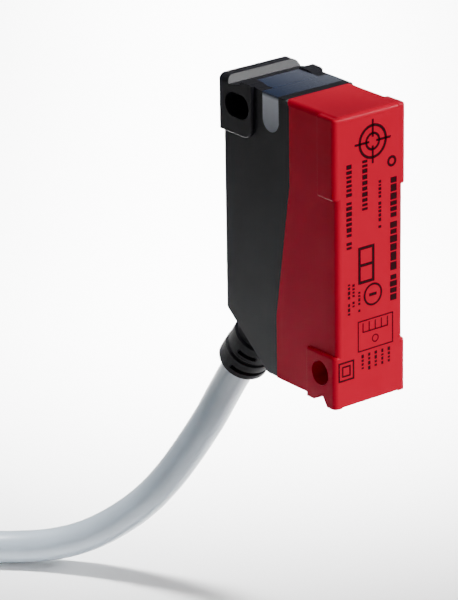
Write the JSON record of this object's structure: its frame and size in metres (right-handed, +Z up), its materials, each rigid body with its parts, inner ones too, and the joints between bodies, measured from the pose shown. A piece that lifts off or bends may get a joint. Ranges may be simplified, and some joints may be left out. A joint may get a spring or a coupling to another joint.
{
  "type": "photoelectric sensor",
  "caption": "Slim rectangular photoelectric sensor with black optics housing, red rear cover, smoky status window, two cross mounting holes and a fixed grey cable with bare ends.",
  "frame": {"origin": "centre of the lower mounting hole, in the middle of the sensor's width", "axes": "+X across the sensor along the mounting holes, +Y towards the red rear label face, -Y the optics face, +Z up towards the status window"},
  "size_m": [0.1291, 0.0854, 0.0992],
  "materials": {
    "black_housing": "fine satin, glass-filled moulding",
    "red_cover": "smooth semi-gloss",
    "seal": "matte",
    "smoke_window": "smoke-tinted polycarbonate",
    "filter_window": "polished, deep red filter",
    "lens": "polished clear plastic",
    "clear_chip": "clear epoxy",
    "black_chip": "matte epoxy",
    "board": "green solder mask",
    "pins": "gold-flashed",
    "shield": "tin plated sheet",
    "led_green": "diffused",
    "led_yellow": "diffused",
    "ferrite": "sintered ferrite",
    "ceramic": "fired ceramic",
    "gland_rubber": "satin elastomer",
    "cable_jacket": "soft grey PVC, slight sheen",
    "core_brown": "PVC insulation",
    "core_white": "PVC insulation",
    "core_blue": "PVC insulation",
    "core_black": "PVC insulation",
    "tie_nylon": "natural nylon",
    "tinned": "tinned copper strands"
  },
  "bodies": {
    "root": {"front_housing": "black_housing", "rear_cover": "red_cover", "case_seal": "seal", "status_window": "smoke_window", "optics_window": "filter_window", "optics_carrier": "black_housing", "emitter_lens": "lens", "receiver_lens": "lens", "emitter_led": "clear_chip", "receiver_photodiode": "black_chip", "optics_board": "board", "main_board": "board", "board_header": "black_chip", "header_pin_1": "pins", "header_pin_2": "pins", "header_pin_3": "pins", "header_pin_4": "pins", "receiver_shield": "shield", "status_led_green": "led_green", "status_led_yellow": "led_yellow", "microcontroller": "black_chip", "output_driver": "black_chip", "voltage_regulator": "black_chip", "filter_inductor": "ferrite", "filter_capacitors": "ceramic", "cable_gland": "gland_rubber", "jacket_end": "cable_jacket", "crimp_ring": "shield", "core_brown": "core_brown", "core_white": "core_white", "core_blue": "core_blue", "core_black": "core_black", "cable": "cable_jacket", "cable_coil": "cable_jacket", "cable_tie": "tie_nylon", "end_core_brown": "core_brown", "end_core_white": "core_white", "end_core_blue": "core_blue", "end_core_black": "core_black", "end_tips": "tinned"}
  },
  "joints": []
}
